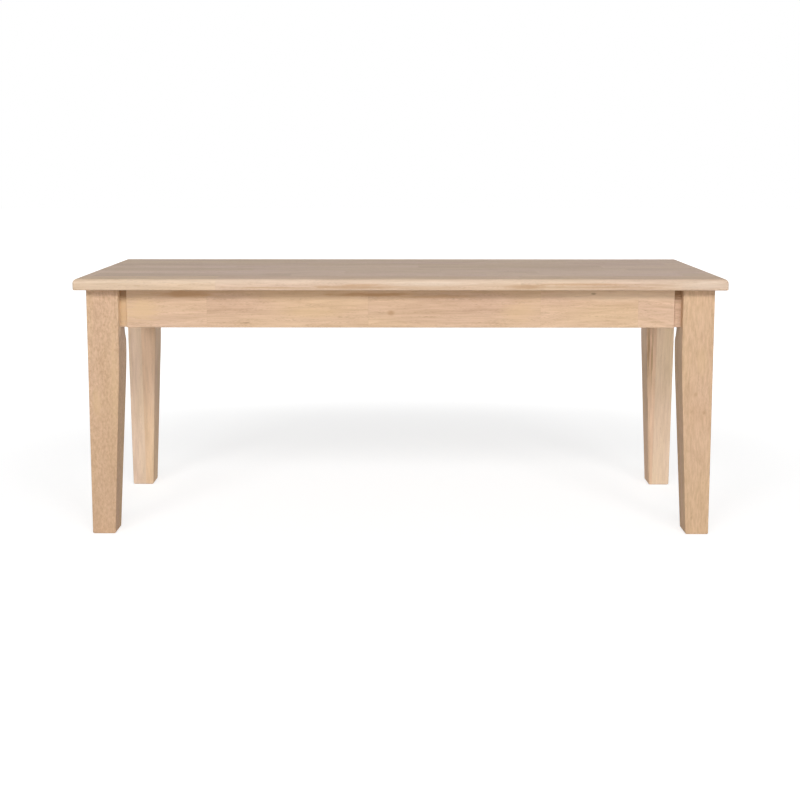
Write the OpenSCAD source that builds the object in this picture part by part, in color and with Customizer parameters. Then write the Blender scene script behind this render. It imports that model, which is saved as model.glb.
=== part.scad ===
/* [Overall] */
// Length of the seat panel
seat_length = 1170; // [900:5:1500]
// Depth of the seat panel from front to back
seat_depth = 390; // [340:5:480]
// Height of the top of the seat above the floor
seat_height = 474; // [420:1:540]

/* [Seat panel] */
// Thickness of the seat panel
seat_thickness = 20.5; // [18:0.5:30]
// Overhang of the seat past the legs at the two ends
end_overhang = 19; // [8:1:30]
// Overhang of the seat past the legs at the front and the back
side_overhang = 19; // [8:1:30]
// Radius of the round-over along the top edge
top_roundover = 8; // [3:0.5:9]
// Radius of the eased bottom edge
bottom_ease = 2; // [1:0.5:4]
// Radius of the corners seen from above
plan_corner_radius = 4; // [1:0.5:12]

/* [Legs] */
// Width of the square leg at its top
leg_top_width = 57; // [50:1:66]
// Width of the square leg at the floor
leg_foot_width = 42; // [32:1:48]
// Distance from the underside of the apron down to the middle of the bend where the taper starts
taper_drop = 62; // [40:1:110]
// Length of the bend between the straight part and the taper
taper_blend = 76; // [30:2:80]
// Chamfer round the sole of the foot
sole_chamfer = 3; // [1:0.5:5]
// Chamfer along the four upright edges of the leg
leg_ease = 1.5; // [0.5:0.5:3]
// Width along each face of the flat cut across the inner corner
corner_flat = 12; // [8:1:18]
// Radius of the curve where the corner flat runs out
flat_runout_radius = 60; // [30:5:90]

/* [Aprons] */
// Height of the four aprons
apron_height = 71; // [60:1:90]
// Thickness of the four aprons
apron_thickness = 20; // [17:0.5:24]
// Set-back of the apron face from the outer face of the leg
apron_setback = 8; // [3:0.5:11]
// Depth of the rebate that leaves the thinner tongue at each apron end
tongue_rebate = 7; // [4:0.5:9]
// Length of tongue that shows between the leg and the apron face
tongue_reveal = 13.5; // [4:0.5:20]
// Depth that the tongue goes into the groove of the leg
tongue_depth = 12; // [8:0.5:15]
// Chamfer on the lower edges of the aprons
apron_ease = 1; // [0.5:0.5:2]

/* [Corner blocks] */
// Thickness of the corner block
block_thickness = 22; // [18:1:26]
// Height of the corner block
block_height = 46; // [40:1:56]
// Gap between the corner block and the flat of the leg
block_gap = 3; // [1:0.5:5]
// Distance along the block from the hanger bolt to the seat screw
seat_screw_shift = 21; // [16:1:26]

/* [Centre rail] */
// Thickness of the rail under the middle of the seat
rail_thickness = 20; // [16:1:30]
// Height of the rail under the middle of the seat
rail_height = 46; // [34:1:56]
// Depth that each end of the rail is let into the apron
rail_housing = 6; // [3:0.5:9]
// Distance between the two seat screws in the rail
rail_screw_spacing = 146; // [80:2:200]

/* [Hardware] */
// Diameter of the hanger bolt
bolt_diameter = 8; // [6:0.5:9]
// Length of the hanger bolt inside the leg
bolt_in_leg = 35; // [20:1:42]
// Length of thread that stands past the nut
bolt_proud = 4; // [1:0.5:10]
// Width across the flats of the nut
nut_flats = 13; // [12:0.5:15]
// Height of the nut
nut_height = 6.5; // [5:0.5:8]
// Diameter of the washer
washer_diameter = 22; // [18:1:26]
// Thickness of the washer
washer_thickness = 1.6; // [1:0.2:2.4]
// Diameter of the shank of the wood screws
screw_diameter = 4; // [3:0.5:5]
// Diameter of the head of the wood screws
screw_head_diameter = 8; // [7:0.5:9]
// Height of the head of the wood screws
screw_head_height = 2.6; // [2:0.2:3.4]
// Wood left under the head of a corner block screw
block_screw_land = 8; // [6:0.5:10]
// Length of a corner block screw inside the apron
block_screw_bite = 14; // [8:0.5:15]
// Wood left under the head of a seat screw
seat_screw_land = 20; // [14:1:24]
// Length of a seat screw inside the seat
seat_screw_bite = 14; // [8:0.5:15]

/* [Hidden] */

$fn = 64;

// How far a cut runs past the wood that it cuts
over = 1;
// Gap round a bolt or a screw in its hole
hole_fit = 0.1;
// Gap round a bolt where it passes freely, and round a screw head
free_fit = 0.5;
// Depth of a screw hole past the tip of its screw
tip_room = 1;

// The staves of the seat are all of one width
stave_count = 8;
stave_width = seat_depth / stave_count;

// Sides of the four corners: left or right, front or back
front_left = [-1, -1];
front_right = [1, -1];
back_left = [-1, 1];
back_right = [1, 1];
corners = [front_left, front_right, back_left, back_right];

// Where the glue line lies across each leg, measured from the outer face
glue_shares = [0.5, 0.5, 0.48, 0.62];

root_two = sqrt(2);

leg_length = seat_height - seat_thickness;
leg_outer_x = seat_length / 2 - end_overhang;
leg_outer_y = seat_depth / 2 - side_overhang;
apron_bottom = leg_length - apron_height;
taper_height = apron_bottom - taper_drop;

// Places inside the corner of the leg frame, measured from the leg's outer faces
apron_inner = apron_setback + apron_thickness;
tongue_outer = apron_setback + tongue_rebate;
shoulder = leg_top_width + tongue_reveal;

// Places along the diagonal of a corner, measured from the leg's outer corner
flat_place = (2 * leg_top_width - corner_flat) / root_two;
block_outer_place = flat_place + block_gap;
block_inner_place = block_outer_place + block_thickness;
nut_place = block_inner_place + washer_thickness;
bolt_start_place = flat_place - bolt_in_leg;
bolt_length = nut_place + nut_height + bolt_proud - bolt_start_place;

block_bottom = leg_length - block_height;
bolt_level = leg_length - block_height / 2;
rail_bottom = leg_length - rail_height;
rail_length = 2 * (leg_outer_y - apron_inner + rail_housing);

// Middle of the face that a corner block glues to the apron
block_foot_middle = (block_outer_place + block_inner_place) * root_two / 2 - apron_inner;
// The two block screws at each end sit above and below the middle of the block
block_screw_levels = [block_bottom + block_height / 4, leg_length - block_height / 4];
// The seat screw in a block is shifted along it, clear of the hanger bolt
seat_screw_middle = (block_outer_place + block_inner_place) / 2;
seat_screw_p = (seat_screw_middle + seat_screw_shift) / root_two;
seat_screw_q = (seat_screw_middle - seat_screw_shift) / root_two;

screw_tip = screw_diameter;
recess_width = screw_head_diameter / 8;
recess_length = screw_head_diameter / 2;
recess_depth = screw_head_height / 2;
head_edge = screw_head_height / 3;
bolt_chamfer = bolt_diameter / 8;

// Colours of the wood and the hardware
seat_colour = [0.85, 0.75, 0.65];
apron_colour = [0.88, 0.75, 0.62];
leg_colour = [0.85, 0.71, 0.58];
inner_wood_colour = [0.80, 0.66, 0.50];
zinc_colour = [0.75, 0.76, 0.78];

// Places its children in one corner of the frame, with x and y running inward
// from the leg's outer faces and z up from the floor
module at_corner(corner) {
    translate([corner[0] * leg_outer_x, corner[1] * leg_outer_y, 0])
        mirror([corner[0] > 0 ? 1 : 0, 0, 0])
            mirror([0, corner[1] > 0 ? 1 : 0, 0])
                children();
}

// Turns its children so that their z axis points inward along the corner's diagonal
module along_diagonal(place, level) {
    translate([place / root_two, place / root_two, level])
        rotate([0, 90, 45])
            children();
}

// Leg width at a level: straight above, tapered below, with a parabola between
function leg_width(z) =
    let (below = taper_height - z,
         half = taper_blend / 2,
         slope = (leg_top_width - leg_foot_width) / taper_height,
         run = below < -half ? 0 : below > half ? below : pow(below + half, 2) / (4 * half))
    leg_top_width - slope * run;

blend_steps = 8;
blend_levels = [
    for (i = [0:blend_steps])
        taper_height - taper_blend / 2 + taper_blend * i / blend_steps
];

// Side view of a leg: a vertical outer edge and a tapered inner edge
module leg_outline() {
    polygon(concat(
        [[0, sole_chamfer], [sole_chamfer, 0], [leg_foot_width - sole_chamfer, 0],
         [leg_width(sole_chamfer), sole_chamfer]],
        [for (z = blend_levels) [leg_width(z), z]],
        [[leg_top_width, leg_length], [0, leg_length]]
    ));
}

// View of a leg across the diagonal through its outer and inner corners, which
// takes the sharp edges off those two corners
module leg_diagonal_outline() {
    outer = leg_ease / root_two;
    polygon(concat(
        [[outer, 0], [(2 * leg_width(0) - leg_ease) / root_two, 0]],
        [for (z = blend_levels) [(2 * leg_width(z) - leg_ease) / root_two, z]],
        [[(2 * leg_top_width - leg_ease) / root_two, leg_length], [outer, leg_length]]
    ));
}

// View of a leg along that diagonal, which takes the edges off its other two corners
module leg_cross_outline() {
    right = concat(
        [[(leg_width(0) - leg_ease) / root_two, 0]],
        [for (z = blend_levels) [(leg_width(z) - leg_ease) / root_two, z]],
        [[(leg_top_width - leg_ease) / root_two, leg_length]]
    );
    last = len(right) - 1;
    polygon(concat(right, [for (i = [0:last]) [-right[last - i][0], right[last - i][1]]]));
}

module leg_blank() {
    intersection() {
        translate([0, leg_top_width, 0])
            rotate([90, 0, 0])
                linear_extrude(leg_top_width)
                    leg_outline();
        rotate([90, 0, 90])
            linear_extrude(leg_top_width)
                leg_outline();
        rotate([90, 0, 45])
            linear_extrude(4 * leg_top_width, center = true)
                leg_diagonal_outline();
        rotate([90, 0, -45])
            linear_extrude(4 * leg_top_width, center = true)
                leg_cross_outline();
    }
}

// Groove for the tongue of the apron that runs along x
module tongue_groove() {
    translate([leg_top_width - tongue_depth, tongue_outer, apron_bottom])
        cube([tongue_depth + over, apron_inner - tongue_outer, apron_height + over]);
}

// The cut across the inner corner, which ends below the apron in a curve
module corner_flat_cut() {
    along_diagonal(flat_place, apron_bottom) {
        translate([-apron_height - over, -leg_top_width / 2, 0])
            cube([apron_height + over, leg_top_width, flat_runout_radius]);
        translate([0, leg_top_width / 2, flat_runout_radius])
            rotate([90, 0, 0])
                cylinder(r = flat_runout_radius, h = leg_top_width);
    }
}

module leg_shape() {
    difference() {
        leg_blank();
        tongue_groove();
        mirror([1, -1, 0])
            tongue_groove();
        corner_flat_cut();
        along_diagonal(bolt_start_place - tip_room, bolt_level)
            cylinder(d = bolt_diameter + 2 * hole_fit, h = bolt_in_leg + tip_room + leg_top_width);
    }
}

// One glued half of a leg. The glue line of a front leg is parallel to the
// front, and that of a back leg is parallel to the end.
module leg_half(index, outer) {
    corner = corners[index];
    glue = leg_top_width * glue_shares[index];
    start = outer ? 0 : glue;
    width = outer ? glue : leg_top_width - glue;
    color(leg_colour)
        at_corner(corner)
            intersection() {
                leg_shape();
                if (corner[1] < 0)
                    translate([0, start, 0])
                        cube([leg_top_width, width, leg_length]);
                else
                    translate([start, 0, 0])
                        cube([width, leg_top_width, leg_length]);
            }
}

// Section of the seat panel across one of its directions
module seat_section(width) {
    top = seat_thickness - top_roundover;
    translate([-width / 2 + top_roundover, 0])
        square([width - 2 * top_roundover, seat_thickness]);
    translate([-width / 2 + bottom_ease, 0])
        square([width - 2 * bottom_ease, top]);
    translate([-width / 2, bottom_ease])
        square([width, top - bottom_ease]);
    for (side = [-1, 1]) {
        translate([side * (width / 2 - top_roundover), top])
            circle(r = top_roundover);
        translate([side * (width / 2 - bottom_ease), bottom_ease])
            circle(r = bottom_ease);
    }
}

// Outline of the seat panel seen from above, with rounded corners
module seat_plan() {
    length = seat_length - 2 * plan_corner_radius;
    depth = seat_depth - 2 * plan_corner_radius;
    square([length, seat_depth], center = true);
    square([seat_length, depth], center = true);
    for (corner = corners)
        translate([corner[0] * length / 2, corner[1] * depth / 2])
            circle(r = plan_corner_radius);
}

module seat_panel() {
    translate([0, 0, leg_length])
        intersection() {
            translate([0, seat_depth / 2, 0])
                rotate([90, 0, 0])
                    linear_extrude(seat_depth)
                        seat_section(seat_length);
            translate([-seat_length / 2, 0, 0])
                rotate([90, 0, 90])
                    linear_extrude(seat_length)
                        seat_section(seat_depth);
            linear_extrude(seat_thickness)
                seat_plan();
        }
}

// Places its children on the axis of every seat screw, at the seat's underside
module at_seat_screws() {
    for (corner = corners)
        at_corner(corner)
            translate([seat_screw_p, seat_screw_q, leg_length])
                children();
    for (side = [-1, 1])
        translate([0, side * rail_screw_spacing / 2, leg_length])
            children();
}

module seat_stave(number) {
    color(seat_colour)
        difference() {
            intersection() {
                seat_panel();
                translate([-seat_length / 2, -seat_depth / 2 + (number - 1) * stave_width, leg_length])
                    cube([seat_length, stave_width, seat_thickness]);
            }
            at_seat_screws()
                translate([0, 0, -over])
                    cylinder(d = screw_diameter + 2 * hole_fit, h = seat_screw_bite + tip_room + over);
        }
}

// Hole for a seat screw in a piece of the given height under the seat
module seat_screw_hole(height) {
    translate([0, 0, -height - over])
        cylinder(d = screw_head_diameter + 2 * free_fit, h = height - seat_screw_land + over);
    translate([0, 0, -height - over])
        cylinder(d = screw_diameter + 2 * hole_fit, h = height + 2 * over);
}

// Places its children on the axes of the block screws that enter the apron
// along x, with z pointing out of the apron's inner face
module at_long_block_screws() {
    for (level = block_screw_levels)
        translate([block_foot_middle, apron_inner, level])
            rotate([-90, 0, 0])
                children();
}

// The same for both aprons that meet in a corner
module at_block_screws() {
    at_long_block_screws()
        children();
    mirror([1, -1, 0])
        at_long_block_screws()
            children();
}

// An apron along x with its outer face toward -y. Its outer length is from
// leg face to leg face.
module apron(outer_length) {
    body = outer_length - 2 * shoulder;
    tongues = outer_length - 2 * (leg_top_width - tongue_depth);
    translate([-body / 2, 0, apron_bottom])
        rotate([90, 0, 90])
            linear_extrude(body)
                polygon([
                    [0, apron_ease], [apron_ease, 0],
                    [apron_thickness - apron_ease, 0], [apron_thickness, apron_ease],
                    [apron_thickness, apron_height], [0, apron_height]
                ]);
    translate([-tongues / 2, tongue_rebate, apron_bottom])
        cube([tongues, apron_thickness - tongue_rebate, apron_height]);
}

module block_screw_bores() {
    for (corner = corners)
        at_corner(corner)
            at_block_screws()
                translate([0, 0, -block_screw_bite - tip_room])
                    cylinder(d = screw_diameter + 2 * hole_fit, h = block_screw_bite + tip_room + over);
}

// The front or back apron, with the housing for the centre rail
module long_apron(side) {
    color(apron_colour)
        difference() {
            rotate([0, 0, side > 0 ? 180 : 0])
                translate([0, -leg_outer_y + apron_setback, 0])
                    apron(2 * leg_outer_x);
            translate([-rail_thickness / 2, -leg_outer_y + apron_inner - rail_housing, rail_bottom])
                cube([rail_thickness, rail_length, rail_height + over]);
            block_screw_bores();
        }
}

// The left or right apron
module end_apron(side) {
    color(apron_colour)
        difference() {
            rotate([0, 0, side > 0 ? 90 : -90])
                translate([0, -leg_outer_x + apron_setback, 0])
                    apron(2 * leg_outer_y);
            block_screw_bores();
        }
}

module centre_rail() {
    color(inner_wood_colour)
        difference() {
            translate([-rail_thickness / 2, -rail_length / 2, rail_bottom])
                cube([rail_thickness, rail_length, rail_height]);
            at_seat_screws()
                seat_screw_hole(rail_height);
        }
}

// A diagonal block glued and screwed to the two aprons that meet in a corner
module corner_block(corner) {
    outer = block_outer_place * root_two - apron_inner;
    inner = block_inner_place * root_two - apron_inner;
    pocket = block_thickness * root_two;
    color(inner_wood_colour)
        at_corner(corner)
            difference() {
                translate([0, 0, block_bottom])
                    linear_extrude(block_height)
                        polygon([[apron_inner, outer], [outer, apron_inner],
                                 [inner, apron_inner], [apron_inner, inner]]);
                along_diagonal(flat_place, bolt_level)
                    cylinder(d = bolt_diameter + 2 * free_fit, h = block_gap + block_thickness + over);
                at_block_screws() {
                    translate([0, 0, -over])
                        cylinder(d = screw_diameter + 2 * hole_fit, h = block_screw_land + 2 * over);
                    translate([0, 0, block_screw_land])
                        cylinder(d = screw_head_diameter + 2 * free_fit, h = pocket);
                }
                translate([seat_screw_p, seat_screw_q, leg_length])
                    seat_screw_hole(block_height);
            }
}

// A wood screw that points along -z, with the underside of its head at z = 0
module wood_screw(length) {
    difference() {
        union() {
            translate([0, 0, -length])
                cylinder(d1 = screw_diameter / 8, d2 = screw_diameter, h = screw_tip);
            translate([0, 0, screw_tip - length])
                cylinder(d = screw_diameter, h = length - screw_tip);
            cylinder(d = screw_head_diameter, h = head_edge);
            translate([0, 0, head_edge])
                cylinder(d1 = screw_head_diameter, d2 = recess_length + 2 * recess_width,
                         h = screw_head_height - head_edge);
        }
        for (angle = [0, 90])
            rotate([0, 0, angle])
                translate([-recess_length / 2, -recess_width / 2, screw_head_height - recess_depth])
                    cube([recess_length, recess_width, recess_depth + over]);
    }
}

module corner_block_screws() {
    color(zinc_colour)
        for (corner = corners)
            at_corner(corner)
                at_block_screws()
                    translate([0, 0, block_screw_land])
                        wood_screw(block_screw_land + block_screw_bite);
}

module seat_screws() {
    color(zinc_colour)
        at_seat_screws()
            translate([0, 0, -seat_screw_land])
                mirror([0, 0, 1])
                    wood_screw(seat_screw_land + seat_screw_bite);
}

module hanger_bolts() {
    color(zinc_colour)
        for (corner = corners)
            at_corner(corner)
                along_diagonal(bolt_start_place, bolt_level) {
                    cylinder(d1 = bolt_diameter - 2 * bolt_chamfer, d2 = bolt_diameter, h = bolt_chamfer);
                    translate([0, 0, bolt_chamfer])
                        cylinder(d = bolt_diameter, h = bolt_length - 2 * bolt_chamfer);
                    translate([0, 0, bolt_length - bolt_chamfer])
                        cylinder(d1 = bolt_diameter, d2 = bolt_diameter - 2 * bolt_chamfer, h = bolt_chamfer);
                }
}

module washers() {
    color(zinc_colour)
        for (corner = corners)
            at_corner(corner)
                along_diagonal(block_inner_place, bolt_level)
                    difference() {
                        cylinder(d = washer_diameter, h = washer_thickness);
                        translate([0, 0, -over])
                            cylinder(d = bolt_diameter + 2 * hole_fit, h = washer_thickness + 2 * over);
                    }
}

module nuts() {
    color(zinc_colour)
        for (corner = corners)
            at_corner(corner)
                along_diagonal(nut_place, bolt_level)
                    difference() {
                        cylinder(d = nut_flats / cos(30), h = nut_height, $fn = 6);
                        translate([0, 0, -over])
                            cylinder(d = bolt_diameter + 2 * hole_fit, h = nut_height + 2 * over);
                    }
}

seat_stave(1);  // seat_stave_1
seat_stave(2);  // seat_stave_2
seat_stave(3);  // seat_stave_3
seat_stave(4);  // seat_stave_4
seat_stave(5);  // seat_stave_5
seat_stave(6);  // seat_stave_6
seat_stave(7);  // seat_stave_7
seat_stave(8);  // seat_stave_8
long_apron(-1);  // front_apron
long_apron(1);  // back_apron
end_apron(-1);  // left_apron
end_apron(1);  // right_apron
leg_half(0, true);  // front_left_leg_outer_half
leg_half(0, false);  // front_left_leg_inner_half
leg_half(1, true);  // front_right_leg_outer_half
leg_half(1, false);  // front_right_leg_inner_half
leg_half(2, true);  // back_left_leg_outer_half
leg_half(2, false);  // back_left_leg_inner_half
leg_half(3, true);  // back_right_leg_outer_half
leg_half(3, false);  // back_right_leg_inner_half
centre_rail();
corner_block(front_left);  // front_left_corner_block
corner_block(front_right);  // front_right_corner_block
corner_block(back_left);  // back_left_corner_block
corner_block(back_right);  // back_right_corner_block
hanger_bolts();
washers();
nuts();
corner_block_screws();
seat_screws();
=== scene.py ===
"""Dining bench: an edge-glued seat on two pairs of tapered legs, joined by four aprons.

Every length is in metres, with x along the bench, y from front to back and z up from the floor.
"""

import math

import bmesh
import bpy
import numpy as np
from bpy.props import FloatProperty, FloatVectorProperty, PointerProperty
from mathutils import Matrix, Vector


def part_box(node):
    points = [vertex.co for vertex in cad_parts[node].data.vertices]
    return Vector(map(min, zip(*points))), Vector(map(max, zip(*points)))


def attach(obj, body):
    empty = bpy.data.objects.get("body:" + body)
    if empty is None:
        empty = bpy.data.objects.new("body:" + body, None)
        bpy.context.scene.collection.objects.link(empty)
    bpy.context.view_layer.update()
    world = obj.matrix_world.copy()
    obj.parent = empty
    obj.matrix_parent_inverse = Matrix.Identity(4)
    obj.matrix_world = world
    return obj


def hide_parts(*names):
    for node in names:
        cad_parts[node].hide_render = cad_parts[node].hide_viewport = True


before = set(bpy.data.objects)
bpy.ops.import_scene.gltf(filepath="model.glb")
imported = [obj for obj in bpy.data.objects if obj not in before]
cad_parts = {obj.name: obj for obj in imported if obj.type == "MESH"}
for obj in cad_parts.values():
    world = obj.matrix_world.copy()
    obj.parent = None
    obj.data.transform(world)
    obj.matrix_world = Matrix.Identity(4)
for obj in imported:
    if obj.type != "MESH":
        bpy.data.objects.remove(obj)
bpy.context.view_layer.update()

bl_info = {
    "name": "Dining bench",
    "version": (1, 0, 0),
    "blender": (4, 5, 0),
    "location": "3D View > Sidebar > Bench",
    "description": "Builds a dining bench of glued wood with its fasteners, and a plain studio",
    "category": "Add Mesh",
}

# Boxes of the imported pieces, from which many sizes follow
STAVE_LOW, STAVE_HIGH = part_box("seat_stave_1")
LEG_LOW, LEG_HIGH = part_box("front_left_leg_outer_half")
APRON_LOW, APRON_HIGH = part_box("front_apron")
RAIL_LOW, RAIL_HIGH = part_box("centre_rail")
BLOCK_LOW, BLOCK_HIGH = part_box("front_left_corner_block")
STAVES = 8
# A row of the seat's wood, a hair wider than a stave so that the back edge stays in the last
STAVE_ROW = 1.0001 * (STAVE_HIGH.y - STAVE_LOW.y)

# Points closer together than this are one point, in metres
MERGE_DISTANCE = 2e-6
# Faces that turn more than this stay sharp between them
SHARP_ANGLE = math.radians(35)

# Which way each corner lies from the middle of the bench, along x and along y
CORNERS = {
    "front_left": (-1, -1),
    "front_right": (1, -1),
    "back_left": (-1, 1),
    "back_right": (1, 1),
}


def length(name, default, description):
    """A length in metres that the user may change."""
    return FloatProperty(name=name, description=description, default=default, min=0.0,
                         precision=4, subtype="DISTANCE", unit="LENGTH")


def colour(name, default, description):
    """A colour that the user may change, as linear red, green and blue."""
    return FloatVectorProperty(name=name, description=description, default=default, size=3,
                               min=0.0, max=1.0, subtype="COLOR")


class BenchSizes(bpy.types.PropertyGroup):
    """Sizes of the bench that the boxes of its pieces don't give."""

    top_roundover: length("Top round-over", 0.008, "Radius along the seat's top edge")
    bottom_ease: length("Bottom ease", 0.002, "Radius along the seat's bottom edge")
    plan_corner: length("Seat corner", 0.004, "Radius of the seat's corners from above")
    leg_foot: length("Foot width", 0.042, "Width of a leg at the floor")
    taper_start: length("Taper start", 0.3205, "Height of the bend where the taper starts")
    taper_blend: length("Taper bend", 0.076, "Length of that bend")
    leg_ease: length("Leg edge", 0.0015, "Radius of a leg's upright edges")
    sole_ease: length("Sole edge", 0.003, "Radius round the sole of a foot")
    corner_flat: length("Corner flat", 0.012, "Width of the flat on a leg's inner corner")
    flat_runout: length("Flat run-out", 0.060, "Radius where the corner flat runs out")
    apron_thickness: length("Apron thickness", 0.020, "Thickness of the aprons")
    tongue_rebate: length("Tongue rebate", 0.007, "Set-back of the tongue's face")
    tongue_reveal: length("Tongue reveal", 0.0135, "Length of tongue that shows")
    tongue_depth: length("Tongue depth", 0.012, "Depth of the tongue in the leg")
    apron_ease: length("Apron edge", 0.001, "Radius of the aprons' lower edges")
    block_gap: length("Block gap", 0.003, "Gap between a corner block and its leg")
    block_thickness: length("Block thickness", 0.022, "Thickness of a corner block")
    bolt_in_leg: length("Bolt in leg", 0.035, "Length of a hanger bolt in its leg")
    bolt_proud: length("Bolt past nut", 0.004, "Length of bolt past its nut")
    bolt_diameter: length("Bolt diameter", 0.008, "Diameter of the hanger bolts")
    thread_pitch: length("Thread pitch", 0.00125, "Pitch of the bolts' thread")
    nut_flats: length("Nut width", 0.013, "Width across the flats of a nut")
    nut_height: length("Nut height", 0.0065, "Height of a nut")
    washer_diameter: length("Washer diameter", 0.022, "Diameter of a washer")
    washer_thickness: length("Washer thickness", 0.0016, "Thickness of a washer")


class BenchColours(bpy.types.PropertyGroup):
    """Colours of the wood, of the light and shade painted on it, of the hardware and of the studio.
    """

    # Staves drawn darker than the front stave: partly wood, partly painted shade on the top
    seat_wood: colour("Seat", (0.566, 0.430, 0.341), "Wood of the seat's staves")
    front_stave_wood: colour("Front stave", (0.632, 0.477, 0.355), "Wood of the seat's front stave")
    apron_wood: colour("Aprons", (0.628, 0.443, 0.311), "Wood of the four aprons")
    front_leg_wood: colour("Front legs", (0.619, 0.428, 0.282), "Wood of the front legs")
    # Back legs drawn paler than the front legs: partly the wood, partly painted light
    back_leg_wood_and_light: colour("Back legs", (0.835, 0.65, 0.48), "Pale outer wood of the back legs")
    back_core_wood_and_light: colour("Back leg cores", (0.795, 0.575, 0.39), "Inner wood of the back legs")
    block_wood: colour("Blocks", (0.55, 0.38, 0.24), "Wood of the corner blocks and the rail")
    # The pore colour also paints shade on the tongues and on a front leg's inner side
    pore_and_shade_wood: colour("Pores", (0.25, 0.14, 0.07), "Pores, knots and mineral flecks")
    # The streak colour also paints shade on the front left leg towards its foot
    streak_and_shade_wood: colour("Streaks", (0.45, 0.27, 0.145), "Warm brown streaks in the wood")
    # The gold colour also paints warm bounce light into the seat's shadow on the apron
    gold_and_bounce_wood: colour("Gold", (0.665, 0.46, 0.262), "Patches where the wood turns golden")
    # The amber colour also paints shade at the top of each tongue
    amber_and_shade_wood: colour("Amber", (0.50, 0.28, 0.13), "Streaks where the wood turns amber")
    pale_wood: colour("Pale", (0.80, 0.68, 0.56), "Streaks where the wood turns pale")
    # Painted light: a bright wood colour laid over places in shade, to lift them
    painted_light_wood: colour("Honey", (0.90, 0.70, 0.48), "Streaks where the wood turns bright")
    pink_tint: colour("Pink tint", (1.0, 0.945, 0.97), "Tint where the wood turns pink")
    straw_tint: colour("Straw tint", (1.0, 0.975, 0.82), "Tint where the wood turns yellow")
    # The dark grain tint also paints shade on faces that look up
    dark_grain_and_shade_tint: colour("Dark grain", (0.74, 0.69, 0.63), "Tint of the darkest grain")
    end_grain: colour("End grain", (0.80, 0.74, 0.67), "Tint where the grain ends at a face")
    zinc: colour("Zinc", (0.66, 0.68, 0.70), "Zinc plating of the steel")
    floor: colour("Floor", (0.86, 0.86, 0.86), "Floor of the studio")


# ---- Shapes ----


def arc(centre, radius, start, end, steps):
    """Points centre + radius * (cos a, sin a), with a going from start to end in degrees."""
    a = np.radians(np.linspace(start, end, steps + 1))
    return np.stack([centre[0] + radius * np.cos(a), centre[1] + radius * np.sin(a)], axis=-1)


def grid_points(x, y, z):
    """Points (x, y, z), each coordinate spread over the rows and columns of the others."""
    return np.stack(np.broadcast_arrays(x, y, z), axis=-1)


def bench_piece(node, suffix, points, worn, faces, material):
    """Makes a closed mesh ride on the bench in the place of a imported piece.

    worn is 1 where a point lies on an eased edge and 0 on the faces between them.
    """
    name = f"{node}_{suffix}"
    mesh = bpy.data.meshes.new(name)
    mesh.from_pydata(points.reshape(-1, 3).tolist(), [], faces)
    edge = mesh.attributes.new("worn_edge", "FLOAT", "POINT")
    edge.data.foreach_set("value", np.ascontiguousarray(worn.ravel(), dtype=np.float32))
    shell = bmesh.new()
    shell.from_mesh(mesh)
    bmesh.ops.remove_doubles(shell, verts=shell.verts, dist=MERGE_DISTANCE)
    bmesh.ops.dissolve_degenerate(shell, edges=shell.edges, dist=MERGE_DISTANCE / 2)
    bmesh.ops.recalc_face_normals(shell, faces=shell.faces)
    shell.to_mesh(mesh)
    shell.free()
    mesh.shade_smooth()
    mesh.set_sharp_from_angle(angle=SHARP_ANGLE)
    mesh.materials.append(material)
    piece = bpy.data.objects.new(name, mesh)
    bpy.context.scene.collection.objects.link(piece)
    weighted = piece.modifiers.new("Even shading", "WEIGHTED_NORMAL")
    weighted.keep_sharp = True
    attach(piece, "root")
    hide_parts(node)


def grid_faces(rows, columns, around, start=0):
    """Four-sided faces of a grid of points, closed across its columns where around is true."""
    last = columns if around else columns - 1
    i = np.arange(rows - 1)[:, None] * columns + start
    j = np.arange(last)[None, :]
    k = (j + 1) % columns
    corners = [i + j, i + k, i + k + columns, i + j + columns]
    return np.stack(corners, axis=-1).reshape(-1, 4).tolist()


def skin(rings):
    """Faces of a band of rings with one flat face over the first and over the last ring."""
    rows, around = rings.shape[:2]
    faces = grid_faces(rows, around, True)
    faces.append(list(range(around)))
    faces.append(list(range((rows - 1) * around, rows * around)))
    return faces


def seat_edge(sizes):
    """Inset from the seat's outline and height above the floor, from the underside to the top.

    A quarter circle eases the bottom edge and a larger one rounds the top edge.
    """
    low = STAVE_LOW.z
    high = STAVE_HIGH.z
    small = sizes.bottom_ease
    large = sizes.top_roundover
    bottom = arc((small, low + small), small, 270, 180, 4)
    top = arc((large, high - large), large, 180, 90, 10)
    under = [[2 * small, low]]
    upper = [[large + small, high]]
    path = np.concatenate([under, bottom, top, upper])
    worn = np.concatenate([[0], np.ones(len(bottom) + len(top)), [0]])
    return path, worn


def inner_stave(number, sizes, material):
    """The seat's section along x, carried straight across the width of one stave."""
    low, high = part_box(f"seat_stave_{number}")
    path, worn = seat_edge(sizes)
    inset, height = path.T
    along = np.concatenate([low.x + inset, (high.x - inset)[::-1]])
    level = np.concatenate([height, height[::-1]])
    across = np.array([[low.y], [high.y]])
    rings = grid_points(along, across, level)
    edges = np.concatenate([worn, worn[::-1]]) + 0 * across
    node = f"seat_stave_{number}"
    bench_piece(node, "wood", rings, edges, skin(rings), material)


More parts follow.
